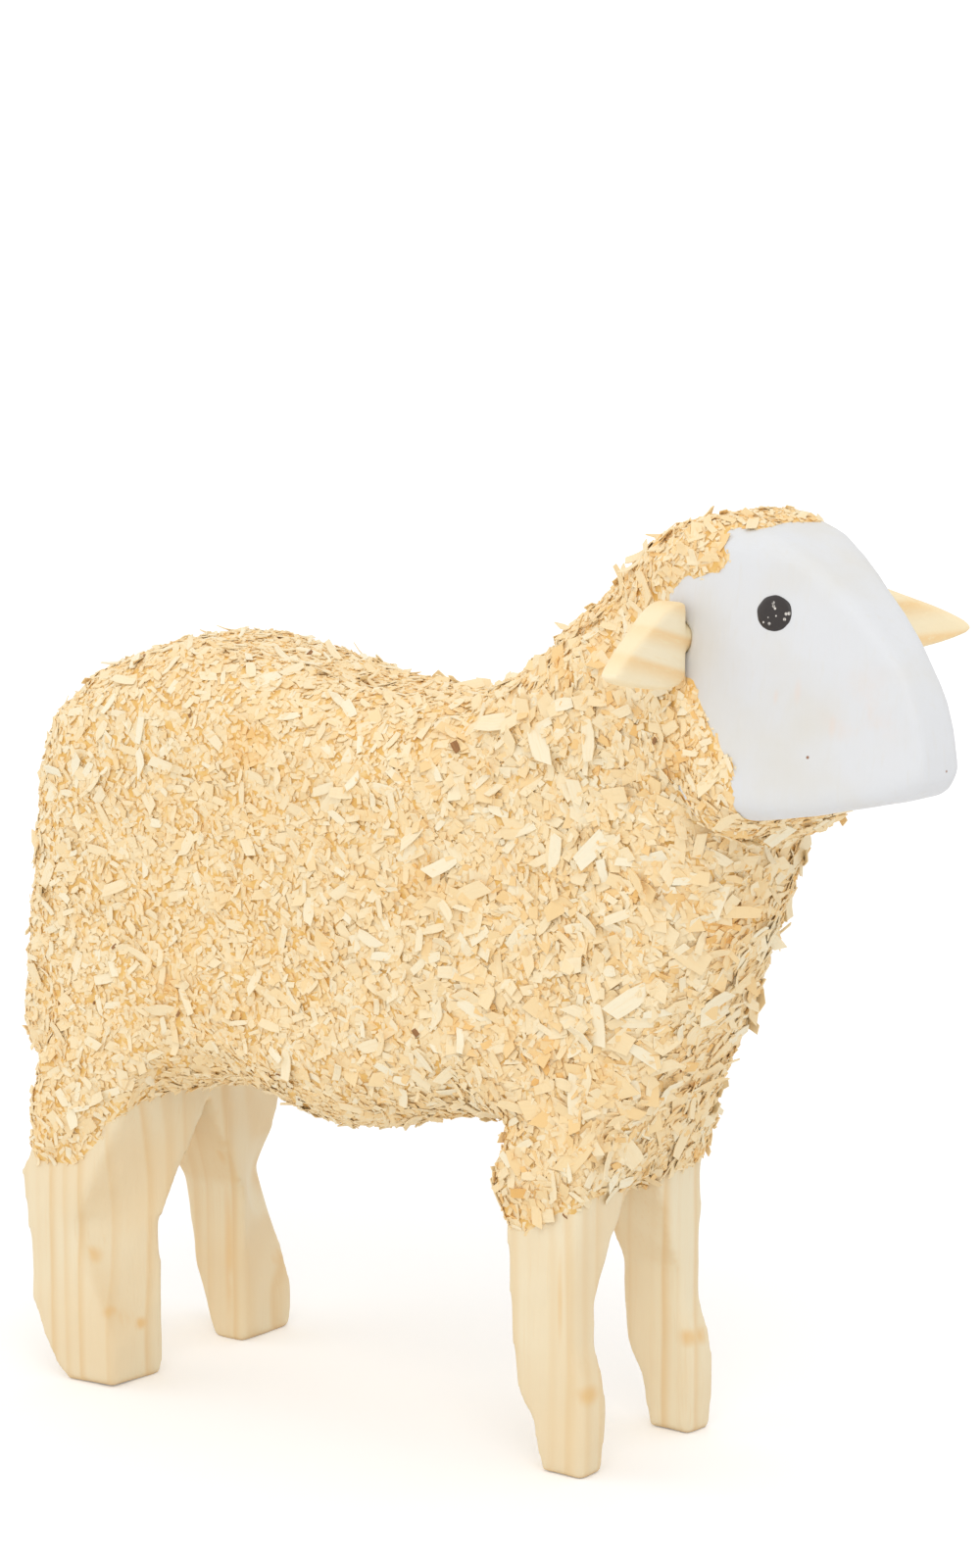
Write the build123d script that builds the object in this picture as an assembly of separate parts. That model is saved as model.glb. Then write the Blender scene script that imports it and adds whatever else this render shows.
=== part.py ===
from build123d import *
import os

# Carved wooden sheep on four whittled legs, with a coat of glued wood shavings.
# Millimetres. X runs from the rump to the chest, Y to the sheep's left and Z up from the ground.

# Body block, sawn and whittled from one board with the grain upright
body_length = 115.3
leg_height = 40.0
trunk_depth = 58.0
trunk_width = 32.8
rear_stance = 39.2
front_stance = 29.0
rear_leg_depth = 12.4
front_leg_depth = 11.0
rear_slot_width = 17.4
front_slot_width = 18.6

# Coat of shavings, with the largest standing out of it
coat_thickness = 1.6
head_coat_thickness = 1.2
shaving_length = 6.4
shaving_width = 2.6
shaving_rise = 1.4
shaving_spacing = 11.0
shaving_spin = 137.5

# Head block, turned towards the sheep's right on the sloped top of the neck
head_reach = 32.7
head_height = 37.0
head_width = 25.0
head_turn = 15.0
ear_ahead_of_neck = 11.1
ear_above_neck = 12.4

# Ears, each with a round tenon in a drilled socket and its root let into the side of the head
ear_length = 20.0
ear_height = 10.4
ear_thickness = 4.0
ear_tip_thickness = 2.2
ear_sweep = 26.0
ear_droop = 5.0
ear_setback = 2.6
ear_recess = 1.0
tenon_diameter = 4.0
tenon_length = 6.0
socket_clearance = 0.1

# Painted eyes
eye_length = 4.4
eye_height = 4.2
paint_thickness = 0.3

# Hidden dowel between the neck and the head
dowel_diameter = 6.0
dowel_length = 20.0
dowel_clearance = 0.05
hole_end_gap = 0.5

# How far a cutting shape runs past what it cuts
overrun = 5.0

# Trunk sections from the rump to the chest, as shares of the body's sizes: the lower and upper point
# (along the body, then up from the belly), the half width at each, and the corner radius at each as
# a share of that half width
trunk_section_shares = [
    (-0.468, 0.090, -0.452, 0.750, 0.76, 0.66, 0.60, 0.60),
    (-0.456, -0.010, -0.416, 0.895, 0.92, 0.84, 0.55, 0.60),
    (-0.364, -0.050, -0.343, 0.972, 1.00, 0.88, 0.50, 0.65),
    (-0.234, 0.045, -0.243, 1.008, 1.00, 0.88, 0.60, 0.70),
    (-0.069, 0.014, -0.069, 0.952, 1.00, 0.86, 0.60, 0.70),
    (0.069, 0.052, 0.061, 0.948, 0.96, 0.82, 0.60, 0.75),
    (0.190, 0.069, 0.165, 0.900, 0.90, 0.70, 0.55, 0.80),
    (0.300, 0.086, 0.260, 0.800, 0.80, 0.60, 0.55, 0.80),
]

# Neck sections from the chest to the sloped top, in the same shares
neck_section_shares = [
    (0.325, 0.017, 0.040, 0.860, 0.80, 0.56, 0.60, 0.85),
    (0.371, 0.203, 0.135, 0.980, 0.79, 0.60, 0.70, 0.90),
    (0.415, 0.388, 0.204, 1.072, 0.77, 0.62, 0.80, 0.90),
    (0.453, 0.574, 0.245, 1.147, 0.74, 0.64, 0.85, 0.90),
    (0.487, 0.759, 0.278, 1.207, 0.70, 0.66, 0.85, 0.90),
]

# Leg sections from the sole up: height in leg heights, then the outer back, outer front, inner front
# and inner back corner in leg depths from the leg's middle, then the slot's and stance's half widths
rear_leg_middle_share = -0.386
rear_leg_section_shares = [
    (0.0, -0.07, 0.62, 0.62, 0.19, 1.00, 0.98),
    (0.142, -0.38, 0.63, 0.67, 0.04, 1.00, 1.00),
    (0.25, -0.51, 0.49, 0.65, -0.08, 1.00, 1.00),
    (0.54, -0.56, 0.07, 0.65, -0.20, 1.00, 1.00),
    (0.69, -0.65, 0.35, 0.67, -0.24, 0.60, 1.00),
    (0.85, -0.47, 0.56, 0.73, -0.28, 0.12, 0.94),
    (1.12, -0.40, 0.85, 0.85, -0.28, -0.12, 0.86),
    (1.55, -0.28, 0.85, 0.85, -0.20, -0.12, 0.75),
]
front_leg_middle_share = 0.269
front_leg_section_shares = [
    (0.0, -0.10, 0.50, 0.50, -0.10, 1.00, 1.00),
    (0.162, -0.24, 0.53, 0.53, -0.22, 1.00, 1.00),
    (0.25, -0.45, 0.52, 0.52, -0.38, 1.00, 1.00),
    (0.31, -0.48, 0.50, 0.50, -0.42, 1.00, 1.00),
    (0.425, -0.51, 0.35, 0.38, -0.45, 1.00, 1.00),
    (0.55, -0.55, 0.34, 0.38, -0.48, 1.00, 1.00),
    (0.70, -0.60, 0.36, 0.40, -0.53, 0.71, 1.00),
    (0.85, -0.63, 0.40, 0.44, -0.56, 0.43, 0.97),
    (1.05, -0.66, 0.45, 0.60, -0.60, -0.11, 0.93),
    (1.50, -0.60, 0.75, 0.85, -0.55, -0.11, 0.80),
]

# Lower edge of the coat seen from the side, from the rump forward, in body lengths and leg heights
hem_shares = [
    (-0.55, 0.90),
    (-0.46, 0.86),
    (-0.425, 0.74),
    (-0.375, 0.74),
    (-0.30, 1.00),
    (-0.26, 0.90),
    (0.165, 0.90),
    (0.195, 0.79),
    (0.235, 0.78),
    (0.40, 1.06),
    (0.60, 1.06),
]

# Head sections from the neck to the nose: the lower and upper point in head reaches and head heights
# from the ear, the half width at each in half head widths, and each corner radius as a share of that
head_section_shares = [
    (0.03, -0.710, -0.82, -0.12, 0.90, 0.86, 0.50, 0.80),
    (0.15, -0.625, -0.65, 0.07, 0.93, 0.84, 0.45, 0.85),
    (0.25, -0.585, -0.42, 0.250, 0.95, 0.80, 0.38, 0.80),
    (0.36, -0.560, -0.11, 0.355, 0.95, 0.80, 0.30, 0.52),
    (0.52, -0.532, 0.260, 0.352, 0.84, 0.54, 0.28, 0.40),
    (0.66, -0.503, 0.494, 0.250, 0.69, 0.385, 0.30, 0.42),
    (0.78, -0.473, 0.700, 0.123, 0.55, 0.29, 0.33, 0.50),
    (0.887, -0.446, 0.870, -0.022, 0.43, 0.24, 0.40, 0.55),
    (0.957, -0.411, 0.962, -0.168, 0.33, 0.22, 0.50, 0.60),
    (0.997, -0.373, 0.997, -0.284, 0.26, 0.20, 0.40, 0.40),
]

# Edge of the bare face seen from the side, in head reaches and head heights, from the top down
face_edge_shares = [
    (0.19, 0.46),
    (0.16, 0.34),
    (0.03, 0.21),
    (-0.03, 0.08),
    (-0.01, 0.0),
    (0.06, -0.14),
    (0.14, -0.27),
    (0.24, -0.44),
    (0.26, -0.55),
    (0.20, -0.72),
]

# Eye's middle on the cheek, in head reaches and head heights from the ear
eye_place_shares = (0.345, 0.120)

# Upper edge of one ear from its root to its tip, in ear lengths and half heights
ear_edge_shares = [(0.0, 0.88), (0.20, 1.0), (0.56, 0.68), (0.91, 0.24)]

# How deep a standing shaving's foot sits in the coat, how far the coat must face the side that the
# shaving is set from, and how near to each other two shavings may be, in spacings
foot_share = 0.5
facing_share = 0.7
closest_share = 0.75


def side_points(row, reach, base, rise):
    """Lower and upper point of a section in the side view."""
    low_along, low_up, high_along, high_up = row[:4]
    low = Vector(low_along * reach, 0, base + low_up * rise)
    high = Vector(high_along * reach, 0, base + high_up * rise)
    return low, high


def section_plane(low, high):
    """Plane across the sheep through two points of the side view, with its local Y from low to high."""
    across = Vector(0, 1, 0)
    along = across.cross((high - low).normalized())
    return Plane(origin=(low + high) / 2, x_dir=across, z_dir=along)


def carved_section(row, reach, base, rise, half, grow, setback):
    """Face with rounded corners that stands between two points of a side view."""
    low, high = side_points(row, reach, base, rise)
    low_share, high_share, low_corner, high_corner = row[4:]
    half_height = (high - low).length / 2 + grow
    low_half = low_share * half
    high_half = high_share * half
    outline = Polyline(
        (-low_half - grow, -half_height),
        (low_half + grow, -half_height),
        (high_half + grow, half_height),
        (-high_half - grow, half_height),
        close=True,
    )
    face = make_face(outline)
    face = fillet(face.vertices().sort_by(Axis.Y)[:2], low_corner * low_half + grow)
    face = fillet(face.vertices().sort_by(Axis.Y)[-2:], high_corner * high_half + grow)
    return section_plane(low, high).offset(setback) * face


def body_section(row, grow, setback):
    return carved_section(row, body_length, leg_height, trunk_depth, trunk_width / 2, grow, setback)


def neck_joint():
    """Plane of the neck's sloped top, with its local Y up the slope."""
    return section_plane(*side_points(neck_section_shares[-1], body_length, leg_height, trunk_depth))


def trunk(grow):
    """Trunk from rump to chest, with every side moved out by grow."""
    rump = [body_section(trunk_section_shares[0], grow, -grow)]
    return loft(rump + [body_section(row, grow, 0) for row in trunk_section_shares[1:]])


def neck(grow):
    """Chest and neck, with every side moved out by grow except the sloped top."""
    return loft([body_section(row, grow, 0) for row in neck_section_shares])


def leg(middle, depth, rows, slot, stance, grow):
    """Left leg: knife-cut facets between one four-sided section and the next."""
    sections = []
    for height, outer_back, outer_front, inner_front, inner_back, inner, outer in rows:
        inside = inner * slot / 2 - grow
        outside = outer * stance / 2 + grow
        outline = Polyline(
            (middle + outer_back * depth - grow, outside),
            (middle + outer_front * depth + grow, outside),
            (middle + inner_front * depth + grow, inside),
            (middle + inner_back * depth - grow, inside),
            close=True,
        )
        sections.append(Pos(0, 0, height * leg_height) * make_face(outline))
    return loft(sections, ruled=True)


def legs(grow):
    """Both pairs of legs, the right ones mirrored from the left."""
    rear_middle = rear_leg_middle_share * body_length
    front_middle = front_leg_middle_share * body_length
    rear = leg(rear_middle, rear_leg_depth, rear_leg_section_shares, rear_slot_width, rear_stance, grow)
    front = leg(front_middle, front_leg_depth, front_leg_section_shares, front_slot_width, front_stance, grow)
    left = [rear, front]
    return left + [mirror(each, about=Plane.XZ) for each in left]


def body_form(grow):
    """Trunk, neck and legs in one."""
    form = trunk(grow) + neck(grow)
    for each in legs(grow):
        form += each
    return form


def head_form(grow):
    """Wedge of the head about the ear's middle, with its sides moved out by grow."""
    sections = []
    for row in head_section_shares:
        sections.append(carved_section(row, head_reach, 0, head_height, head_width / 2, grow, 0))
    return loft(sections)


def plug(plane, diameter, length):
    """Round bar that starts on a plane and runs along its normal."""
    return plane * extrude(Circle(diameter / 2), length)


def dowel_hole(joint):
    """Hole for the dowel in both blocks, with room left past the dowel's ends."""
    depth = dowel_length + 2 * hole_end_gap
    return plug(joint.offset(-depth / 2), dowel_diameter + 2 * dowel_clearance, depth)


def ear_root():
    """Plane at the bottom of the left ear's recess in the head, facing outward."""
    return Plane(origin=(-ear_setback, head_width / 2 - ear_recess, 0), x_dir=(1, 0, 0), z_dir=(0, 1, 0))


def ear_blank(clearance):
    """Leaf of the left ear, thinner towards its tip, and running on into the head at its root."""
    half = ear_height / 2
    upper = [(along * ear_length, up * half + clearance) for along, up in ear_edge_shares]
    lower = [(along, -up) for along, up in reversed(upper)]
    tip = (ear_length + clearance, 0)
    edge = Spline(*upper, tip, *lower)
    inside = Polyline(lower[-1], (-overrun, lower[-1][1]), (-overrun, upper[0][1]), upper[0])
    leaf = extrude(Plane.XZ * make_face(edge + inside), ear_thickness, both=True)
    root_half = ear_thickness / 2 + clearance
    tip_half = ear_tip_thickness / 2 + clearance
    wedge = Polyline(
        (-overrun, -root_half),
        (0, -root_half),
        (ear_length + overrun, -tip_half),
        (ear_length + overrun, tip_half),
        (0, root_half),
        (-overrun, root_half),
        close=True,
    )
    blank = leaf & extrude(make_face(wedge), ear_height, both=True)
    root = ear_root()
    return Pos(*root.origin) * Rot(0, 0, 90 - ear_sweep) * Rot(0, ear_droop, 0) * blank


def turned_over(plane):
    """The same place, facing the other way."""
    return Plane(plane.origin, x_dir=plane.x_dir, z_dir=-plane.z_dir)


def left_ear():
    """Leaf that shoulders on the recess, with the tenon that enters the head."""
    root = ear_root()
    leaf = split(ear_blank(0), root, keep=Keep.TOP)
    return leaf + plug(turned_over(root), tenon_diameter, tenon_length)


def left_ear_pocket():
    """What the left ear takes out of the head: a recess for its root and a drilled socket."""
    root = ear_root()
    recess = split(ear_blank(socket_clearance), root, keep=Keep.TOP)
    socket_diameter = tenon_diameter + 2 * socket_clearance
    return recess + plug(turned_over(root), socket_diameter, tenon_length + hole_end_gap)


def coat_zone(inset):
    """Everything above the coat's lower edge, with that edge moved up by inset."""
    hem = [(along * body_length, up * leg_height + inset) for along, up in hem_shares]
    ceiling = leg_height + 2 * trunk_depth
    outline = Polyline(*hem, (hem[-1][0], ceiling), (hem[0][0], ceiling), close=True)
    return extrude(Plane.XZ * make_face(outline), rear_stance, both=True)


def wool_zone(inset):
    """Everything behind the edge of the bare face, with that edge moved back by inset."""
    edge = [(along * head_reach - inset, up * head_height) for along, up in face_edge_shares]
    back = -2 * head_reach
    outline = Spline(*edge) + Polyline(edge[-1], (back, edge[-1][1]), (back, edge[0][1]), edge[0])
    return extrude(Plane.XZ * make_face(outline), head_width, both=True)


def shaving(thickness):
    """Shaving that stands out of a coat, as a wedge that rises to its free end."""
    half = shaving_length / 2
    foot = -foot_share * thickness
    side = Polyline((-half, foot), (half, foot), (half, shaving_rise), close=True)
    return extrude(Plane.XZ * make_face(side), shaving_width / 2, both=True)


def shaving_places(skin, zone, clear_side):
    """Planes on a coat where shavings stand, as seen from both sides, above, behind and in front."""
    reach = skin.bounding_box().diagonal
    count = round(reach / shaving_spacing)
    margin = shaving_length / 2
    closest = closest_share * shaving_spacing
    places = []
    for view in [(0, 1, 0), (0, -1, 0), (0, 0, -1), (1, 0, 0), (-1, 0, 0)]:
        sheet = Plane(skin.center(), z_dir=view)
        for spot in HexLocations(shaving_spacing / 2, count, count):
            hits = skin.find_intersection_points(Axis((sheet.location * spot).position, view))
            if not hits:
                continue
            point, facing = hits[0]
            seen = facing.dot(Vector(view)) < -facing_share
            clear = clear_side.to_local_coords(point).Z > margin and zone.is_inside(point)
            if seen and clear and all((point - place.origin).length > closest for place in places):
                places.append(Plane(point, z_dir=facing))
    return places


def standing_shavings(skin, zone, clear_side, thickness):
    """Shavings on a coat, each turned on from the last, and clear of one side of the neck joint."""
    places = shaving_places(skin.solid(), zone.solid(), clear_side)
    blank = shaving(thickness)
    return [place * Rot(0, 0, number * shaving_spin) * blank for number, place in enumerate(places)]


def left_eye():
    """Thick drop of paint that follows the cheek."""
    along, up = eye_place_shares
    outline = Pos(along * head_reach, up * head_height) * Ellipse(eye_length / 2, eye_height / 2)
    drop = extrude(Plane.XZ * outline, -head_width)
    return (drop & head_form(paint_thickness)) - head_form(0)


joint = neck_joint()
in_place = Pos(*joint.origin) * Rot(0, 0, -head_turn) * Pos(ear_ahead_of_neck, 0, ear_above_neck)
body_core = body_form(0)
body_skin = body_form(coat_thickness)
head_core = split(in_place * head_form(0), joint, keep=Keep.TOP)
head_skin = split(in_place * head_form(head_coat_thickness), joint, keep=Keep.TOP)
body_coat = (body_skin & coat_zone(0)) - body_core
body_zone = coat_zone(shaving_length / 2)
body_coat += standing_shavings(body_skin, body_zone, turned_over(joint), coat_thickness)
head_coat = (head_skin & (in_place * wool_zone(0))) - head_core
head_zone = in_place * wool_zone(shaving_length / 2)
head_coat += standing_shavings(head_skin, head_zone, joint, head_coat_thickness)
hole = dowel_hole(joint)
left_pocket = left_ear_pocket()
right_pocket = mirror(left_pocket, about=Plane.XZ)
pockets = in_place * (left_pocket + right_pocket)

pieces = {
    "body_block": body_core - hole,
    "head_block": head_core - hole - pockets,
    "neck_dowel": plug(joint.offset(-dowel_length / 2), dowel_diameter, dowel_length),
    "ear_left": in_place * left_ear(),
    "ear_right": in_place * mirror(left_ear(), about=Plane.XZ),
    "eye_left": in_place * left_eye(),
    "eye_right": in_place * mirror(left_eye(), about=Plane.XZ),
    "body_fleece": body_coat,
    "head_fleece": head_coat - pockets,
}

boxes = [piece.bounding_box() for piece in pieces.values()]
middle_x = (min(box.min.X for box in boxes) + max(box.max.X for box in boxes)) / 2
middle_y = (min(box.min.Y for box in boxes) + max(box.max.Y for box in boxes)) / 2
centred = Pos(-middle_x, -middle_y, 0)
print("moved", -middle_x, -middle_y, 0)

os.makedirs("parts", exist_ok=True)
for name, piece in pieces.items():
    piece = centred * piece
    box = piece.bounding_box()
    print(name, piece.is_valid, len(piece.solids()), round(piece.volume), box.min, box.max)
    export_step(piece, f"parts/{name}.step")
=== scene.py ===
import math

import bmesh
import bpy
import numpy as np
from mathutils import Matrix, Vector, noise
from mathutils.bvhtree import BVHTree
from mathutils.kdtree import KDTree


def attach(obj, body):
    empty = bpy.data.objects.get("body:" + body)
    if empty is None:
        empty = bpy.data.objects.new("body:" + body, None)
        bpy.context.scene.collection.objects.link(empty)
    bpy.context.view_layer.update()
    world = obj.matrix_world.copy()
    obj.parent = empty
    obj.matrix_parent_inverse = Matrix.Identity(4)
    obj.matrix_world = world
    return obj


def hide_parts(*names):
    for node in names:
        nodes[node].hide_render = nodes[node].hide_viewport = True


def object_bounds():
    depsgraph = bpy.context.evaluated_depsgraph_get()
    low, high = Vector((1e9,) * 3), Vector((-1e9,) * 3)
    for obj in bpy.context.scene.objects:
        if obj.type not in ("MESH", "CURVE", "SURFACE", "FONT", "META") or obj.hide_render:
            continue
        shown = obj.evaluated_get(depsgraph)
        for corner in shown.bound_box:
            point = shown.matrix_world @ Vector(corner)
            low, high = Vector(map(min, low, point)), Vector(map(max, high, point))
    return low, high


# Carved wooden sheep: bare whittled legs, painted face, coat of glued shavings

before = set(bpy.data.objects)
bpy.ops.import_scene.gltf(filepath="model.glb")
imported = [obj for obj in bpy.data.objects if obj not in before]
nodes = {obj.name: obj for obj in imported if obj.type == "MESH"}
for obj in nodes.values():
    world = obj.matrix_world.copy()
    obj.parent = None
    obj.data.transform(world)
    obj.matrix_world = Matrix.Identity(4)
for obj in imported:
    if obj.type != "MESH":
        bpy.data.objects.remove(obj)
cadLow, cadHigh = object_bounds()
mm = 0.001
weldGap = 0.002 * mm    # corners closer than this become one
print("frame loaded")


# small mesh helpers

def newObject(name, mesh):
    thing = bpy.data.objects.new(name, mesh)
    bpy.context.scene.collection.objects.link(thing)
    return thing


def meshOf(shape, name):
    mesh = bpy.data.meshes.new(name)
    shape.to_mesh(mesh)
    shape.free()
    return mesh


def welded(names):
    shape = bmesh.new()
    for name in names:
        shape.from_mesh(nodes[name].data)
    bmesh.ops.remove_doubles(shape, verts=shape.verts, dist=weldGap)
    return shape


def voxelSkin(mesh, size):    # one closed skin round everything in the mesh
    holder = newObject("skinHolder", mesh)
    remesh = holder.modifiers.new("skin", "REMESH")
    remesh.mode = "VOXEL"
    remesh.voxel_size = size
    graph = bpy.context.evaluated_depsgraph_get()
    skin = bpy.data.meshes.new_from_object(holder.evaluated_get(graph))
    bpy.data.objects.remove(holder)
    return skin


def pointsOf(mesh):
    flat = np.empty(len(mesh.vertices) * 3)
    mesh.vertices.foreach_get("co", flat)
    return flat.reshape(-1, 3)


def normalsOf(mesh):
    flat = np.empty(len(mesh.vertices) * 3)
    mesh.vertex_normals.foreach_get("vector", flat)
    return flat.reshape(-1, 3)


def longAxis(thing):
    points = pointsOf(thing.data)
    axes = np.linalg.svd(points - points.mean(axis=0), full_matrices=False)[2]
    return Vector(axes[0])


def treeOf(points):
    tree = KDTree(len(points))
    for index, point in enumerate(points):
        tree.insert(point, index)
    tree.balance()
    return tree


def unit(rows):
    return rows / np.linalg.norm(rows, axis=1)[:, None]


def noiseOver(points, size):
    return np.array([noise.noise(Vector(point) * (1 / size)) for point in points])


def eased(value):
    value = np.clip(value, 0.0, 1.0)
    return value * value * (3 - 2 * value)


def fadedIn(least, value):    # least where the value is 0, and 1 where it is 1
    return least + (1 - least) * value


# camera, which also turns a pixel of the picture into a place on the sheep

cameraLook = {
    "place": (436.23 * mm, -592.2 * mm, 228.8 * mm),
    "aim": (-0.5829, 0.7906, -0.1909),
    "lens": 135.0,
    "film": 36.0,
    "clip": (0.05, 50.0),
    "picture": (1000, 1600),
}


def addCamera(look):
    data = bpy.data.cameras.new("camera")
    data.lens = look["lens"]
    data.sensor_width = look["film"]
    data.clip_start, data.clip_end = look["clip"]
    camera = newObject("camera", data)
    camera.location = look["place"]
    camera.rotation_mode = "QUATERNION"
    camera.rotation_quaternion = Vector(look["aim"]).to_track_quat("-Z", "Y")
    bpy.context.scene.camera = camera
    bpy.context.view_layer.update()
    return camera


camera = addCamera(cameraLook)


def rayThrough(pixel):
    wide, high = cameraLook["picture"]
    step = cameraLook["film"] / cameraLook["lens"] / high
    local = Vector(((pixel[0] - wide / 2) * step, (high / 2 - pixel[1]) * step, -1.0))
    return camera.location, (camera.rotation_quaternion @ local).normalized()


def placeOf(pixel, tree):
    start, along = rayThrough(pixel)
    return tree.ray_cast(start, along)[0]


def pixelSpots(pixels, tree, proud=0.0):    # places and radii of pixels given with a size in mm
    spots = []
    for across, down, size in pixels:
        centre = placeOf((across, down), tree)
        if centre is not None:
            centre = centre + (camera.location - centre).normalized() * proud
            spots.append((centre, size * mm))
    return spots


def pixelsOf(points):    # where points show in the picture
    wide, high = cameraLook["picture"]
    local = (points - np.array(camera.location)) @ np.array(camera.rotation_quaternion.to_matrix())
    size = cameraLook["lens"] / cameraLook["film"] * high
    across = wide / 2 - local[:, 0] / local[:, 2] * size
    down = high / 2 + local[:, 1] / local[:, 2] * size
    return across, down


def insideLoop(across, down, loop):    # which pixels are inside a closed loop
    inside = np.zeros(len(across), bool)
    for (x0, y0), (x1, y1) in zip(loop, loop[1:] + loop[:1]):
        if y0 != y1:
            edge = x0 + (down - y0) * (x1 - x0) / (y1 - y0)
            inside ^= ((y0 > down) != (y1 > down)) & (across < edge)
    return inside


headTree = BVHTree.FromObject(nodes["head_block"], bpy.context.evaluated_depsgraph_get())
bodyTree = BVHTree.FromObject(nodes["body_block"], bpy.context.evaluated_depsgraph_get())


# shader helpers

def screen(red, green, blue):    # a colour as a screen shows it, 0 to 255
    parts = [value / 255 for value in (red, green, blue)]
    return [v / 12.92 if v <= 0.04045 else ((v + 0.055) / 1.055) ** 2.4 for v in parts] + [1.0]


def newFinish(name, roughness):
    finish = bpy.data.materials.new(name)
    finish.use_nodes = True
    tree = finish.node_tree
    shader = tree.nodes["Principled BSDF"]
    shader.inputs["Roughness"].default_value = roughness
    return finish, tree, shader


def put(tree, kind, wires, **settings):
    node = tree.nodes.new("ShaderNode" + kind)
    for key, value in settings.items():
        setattr(node, key, value)
    for key, value in wires.items():
        if isinstance(value, bpy.types.NodeSocket):
            tree.links.new(value, node.inputs[key])
        else:
            node.inputs[key].default_value = value
    return node


def calc(tree, operation, first, second=0.0):
    return put(tree, "Math", {0: first, 1: second}, operation=operation).outputs[0]


def limits(tree, value, low, high):    # 0 below low, 1 above high, eased between
    wires = {"Value": value, "From Min": low, "From Max": high}
    return put(tree, "MapRange", wires, interpolation_type="SMOOTHSTEP").outputs[0]


def mixed(tree, amount, first, second):    # the second colour where the amount is 1
    return put(tree, "Mix", {0: amount, 6: first, 7: second}, data_type="RGBA").outputs[2]


def tinted(tree, amount, share, first, second):    # the same, with at most a share of the second
    return mixed(tree, calc(tree, "MULTIPLY", amount, share), first, second)


def ramped(tree, value, stops):
    node = put(tree, "ValToRGB", {0: value})
    band = node.color_ramp
    while len(band.elements) < len(stops):
        band.elements.new(0.5)
    for element, (place, colour) in zip(band.elements, stops):
        element.position = place
        element.color = colour
    return node.outputs[0]


def placeIn(tree):
    return put(tree, "TexCoord", {}).outputs["Object"]


def stretched(tree, place, scale):
    return put(tree, "Mapping", {"Vector": place, "Scale": scale}).outputs[0]


def noiseAt(tree, place, scale, detail=3.0):
    return put(tree, "TexNoise", {"Vector": place, "Scale": scale, "Detail": detail}).outputs[0]


def spotMask(tree, place, spots, soft, tall=1.0):    # 1 inside any of the spots
    total = None
    flat = stretched(tree, place, (1.0, 1.0, 1.0 / tall))
    for centre, radius in spots:
        middle = (centre.x, centre.y, centre.z / tall)
        gap = put(tree, "VectorMath", {0: flat, 1: middle}, operation="DISTANCE").outputs["Value"]
        inside = calc(tree, "SUBTRACT", 1.0, limits(tree, gap, radius * (1 - soft), radius))
        total = inside if total is None else calc(tree, "MAXIMUM", total, inside)
    return total


def bumped(tree, shader, height, depth):
    bump = put(tree, "Bump", {"Height": height, "Distance": depth, "Strength": 1.0})
    tree.links.new(bump.outputs[0], shader.inputs["Normal"])


def setFinish(thing, finish):
    if not thing.material_slots:
        thing.data.materials.append(finish)
    for slot in thing.material_slots:
        slot.material = finish


# carved pieces: edges worn soft, and hollows that the knife left

def softenEdges(thing, look):
    weld = thing.modifiers.new("weld", "WELD")
    weld.merge_threshold = weldGap
    skin = thing.modifiers.new("skin", "REMESH")
    skin.mode = "VOXEL"
    skin.voxel_size = look["soften"]
    skin.use_smooth_shade = True
    smooth = thing.modifiers.new("smooth", "SMOOTH")
    smooth.factor = 0.5
    smooth.iterations = look["softenRounds"]


def addKnifeCuts(thing, look):
    cuts = bpy.data.textures.new(thing.name + "Cuts", "VORONOI")
    cuts.noise_scale = look["knifeSize"]
    carve = thing.modifiers.new("carve", "DISPLACE")
    carve.texture = cuts
    carve.texture_coords = "LOCAL"
    carve.strength = look["knifeDepth"]
    carve.mid_level = 0.35


# bare softwood, with growth rings about a line beside the board

woodLook = {    # what the legs, ears and dowel share
    "roughness": 0.62,
    "grainRun": 0.03,    # how little the grain changes along the board
    "swaySize": 55.0,
    "swayRun": 0.25,
    "ringRise": (0.2, 0.84),
    "ringFall": (0.76, 1.0),
    "ringDark": 0.87,    # where in a ring its dark line lies
    "ringShare": 0.85,
    "yearChange": 0.7,    # how fast the rings' strength changes from one to the next
    "driftSize": 38.0,
    "driftRange": (0.35, 0.7),
    "fibreSize": 2600.0,
    "fibreRange": (0.5, 0.85),
    "slopeRange": (0.22, 0.75),
    "slopeShare": 0.6,
    "relief": 0.05 * mm,
    "ringRelief": 0.6,
}
legLook = {
    **woodLook,
    "ringCentre": (118 * mm, 92 * mm, 0.0),
    "ringSpacing": 2.1 * mm,
    "ringFaint": (0.32, 0.66),
    "wander": 1.1 * mm,
    "pale": screen(239, 225, 193),
    "warm": screen(236, 214, 175),
    "ringLine": screen(230, 199, 149),
    "endGrain": screen(228, 194, 140),
    "soften": 0.56 * mm,
    "softenRounds": 17,
    "knifeDepth": 0.45 * mm,
    "knifeSize": 8 * mm,
    "amber": screen(232, 192, 130),
    "amberPixels": [    # across, down and radius in mm
        (91, 1282, 2.6), (112, 1339, 1.7), (127, 1344, 2.0), (143, 1350, 1.7),
        (601, 1424, 2.6), (703, 1366, 2.4), (716, 1362, 2.4), (283, 1281, 2.4),
    ],
    "amberTall": 0.7,
    "amberShare": 0.85,
    "stripePixels": [(226, 1180, 1.0), (234, 1280, 1.1), (572, 1330, 0.6)],
    "stripeTall": 14.0,
    "stripeShare": 0.55,
    "patchSoft": 0.85,
    "patchSize": 300.0,
    "patchRun": 0.4,
    "patchRange": (0.3, 0.62),
}


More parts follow.
